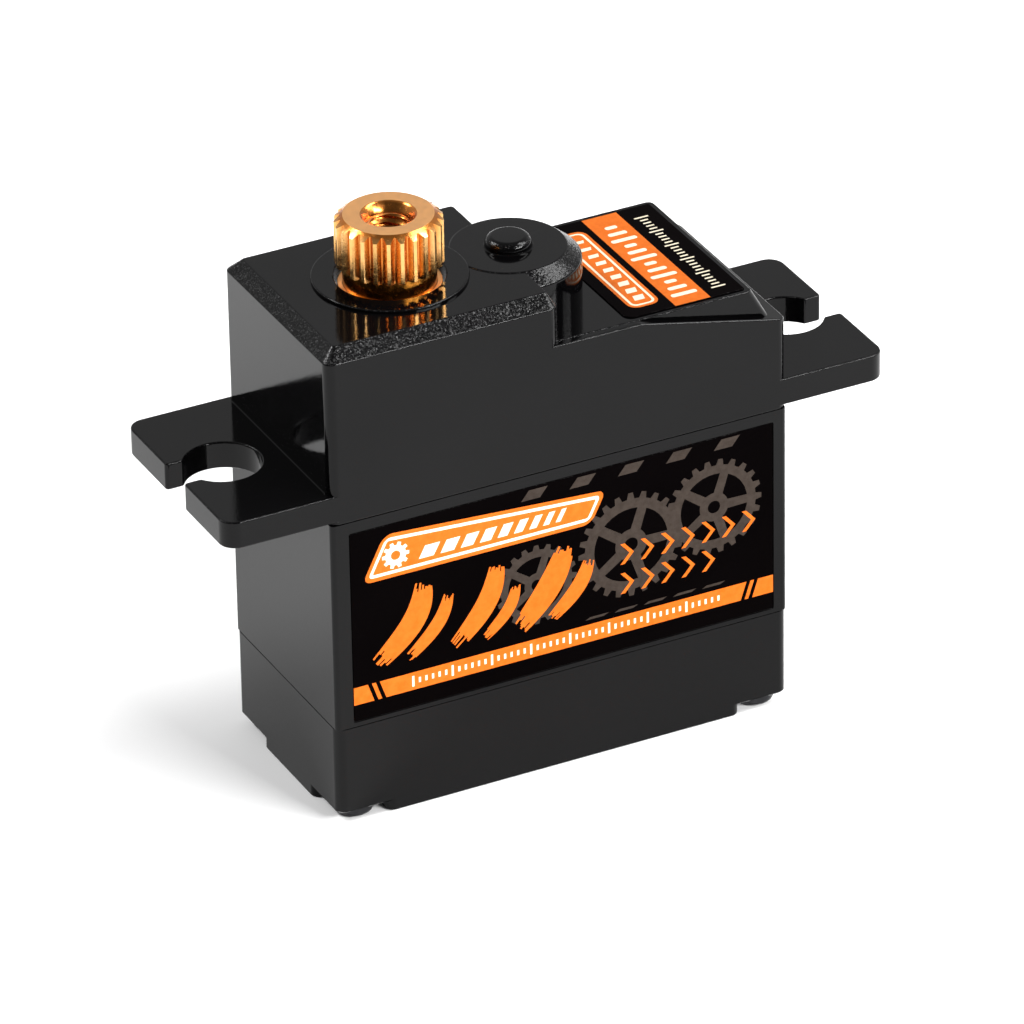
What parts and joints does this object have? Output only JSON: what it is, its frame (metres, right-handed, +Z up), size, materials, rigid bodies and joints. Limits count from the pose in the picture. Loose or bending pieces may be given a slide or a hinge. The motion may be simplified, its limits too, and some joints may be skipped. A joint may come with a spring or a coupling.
{
  "type": "servo motor",
  "caption": "Small metal-gear servo motor: black three-part case with slotted mounting ears, splined brass output shaft and printed labels.",
  "frame": {"origin": "centre of the case's underside", "axes": "+Z up along the output shaft, +X along the case away from the output shaft, -Y out of the face with the large label"},
  "size_m": [0.0422, 0.0134, 0.0348],
  "materials": {
    "case_plastic": "moulded black plastic, semi-gloss",
    "label_film": "printed polyester film",
    "spline_brass": "polished golden brass",
    "gear_brass": "cut brass",
    "bearing_steel": "ground steel",
    "black_steel": "blackened steel",
    "magnet": "sintered magnet",
    "copper": "enamelled copper",
    "sensor_plastic": "moulded blue plastic",
    "cream_plastic": "moulded natural nylon",
    "board": "solder-masked glass-fibre board",
    "chip": "epoxy package",
    "capacitor": "moulded tantalum capacitor"
  },
  "bodies": {
    "housing": {"upper_case": "case_plastic", "middle_case": "case_plastic", "bottom_cover": "case_plastic", "case_screw_1": "black_steel", "case_screw_2": "black_steel", "case_screw_3": "black_steel", "case_screw_4": "black_steel", "front_label": "label_film", "top_label": "label_film", "gear_pin": "bearing_steel", "pin_washer": "bearing_steel", "lower_bush": "spline_brass", "gear_spacer": "spline_brass", "bearing_outer_ring": "bearing_steel", "pot_body": "sensor_plastic", "pot_terminal_1": "bearing_steel", "pot_terminal_2": "bearing_steel", "pot_terminal_3": "bearing_steel", "motor_can": "bearing_steel", "motor_end_cap": "cream_plastic", "motor_magnet_1": "magnet", "motor_magnet_2": "magnet", "motor_brush_1": "copper", "motor_brush_2": "copper", "motor_screw_1": "black_steel", "motor_screw_2": "black_steel", "control_board": "board", "control_chip": "chip", "driver_chip_1": "chip", "driver_chip_2": "chip", "board_capacitor": "capacitor"},
    "output_shaft": {"output_gear": "spline_brass", "bearing_inner_ring": "bearing_steel", "pot_rotor": "cream_plastic"},
    "ball_set": {"bearing_cage": "bearing_steel", "bearing_ball_1": "bearing_steel", "bearing_ball_2": "bearing_steel", "bearing_ball_3": "bearing_steel", "bearing_ball_4": "bearing_steel", "bearing_ball_5": "bearing_steel", "bearing_ball_6": "bearing_steel", "bearing_ball_7": "bearing_steel", "bearing_ball_8": "bearing_steel"},
    "third_gear": {"gear_3": "gear_brass"},
    "second_gear": {"gear_2": "gear_brass"},
    "first_gear": {"gear_1": "gear_brass"},
    "rotor": {"motor_shaft": "bearing_steel", "motor_pinion": "gear_brass", "armature": "black_steel", "coil_1": "copper", "coil_2": "copper", "coil_3": "copper", "commutator": "copper"}
  },
  "joints": [
    {"name": "output_turn", "type": "hinge", "parent": "housing", "child": "output_shaft", "pos_m": [-0.0073, 0, 0.025], "axis": [0, 0, 1], "range_deg": [-100, 100]},
    {"name": "ball_roll", "type": "hinge", "parent": "housing", "child": "ball_set", "pos_m": [-0.0073, 0, 0.025], "axis": [0, 0, 1], "range_deg": [-44, 44]},
    {"name": "third_gear_turn", "type": "hinge", "parent": "housing", "child": "third_gear", "pos_m": [0.0002, 0, 0.025], "axis": [0, 0, 1], "range_deg": [-209, 209]},
    {"name": "second_gear_turn", "type": "hinge", "parent": "housing", "child": "second_gear", "pos_m": [-0.0073, 0, 0.025], "axis": [0, 0, 1], "range_deg": [-442, 442]},
    {"name": "first_gear_turn", "type": "hinge", "parent": "housing", "child": "first_gear", "pos_m": [0.0002, 0, 0.025], "axis": [0, 0, 1], "range_deg": [-939, 939]},
    {"name": "rotor_turn", "type": "hinge", "parent": "housing", "child": "rotor", "pos_m": [0.0068, 0, 0.025], "axis": [0, 0, 1], "range_deg": [-3190, 3190]}
  ],
  "couplings": [
    {"joint": "ball_roll", "follows": "output_turn", "ratio": 0.43},
    {"joint": "third_gear_turn", "follows": "output_turn", "ratio": -2.0769},
    {"joint": "second_gear_turn", "follows": "output_turn", "ratio": 4.4135},
    {"joint": "first_gear_turn", "follows": "output_turn", "ratio": -9.3786},
    {"joint": "rotor_turn", "follows": "output_turn", "ratio": 31.887}
  ]
}
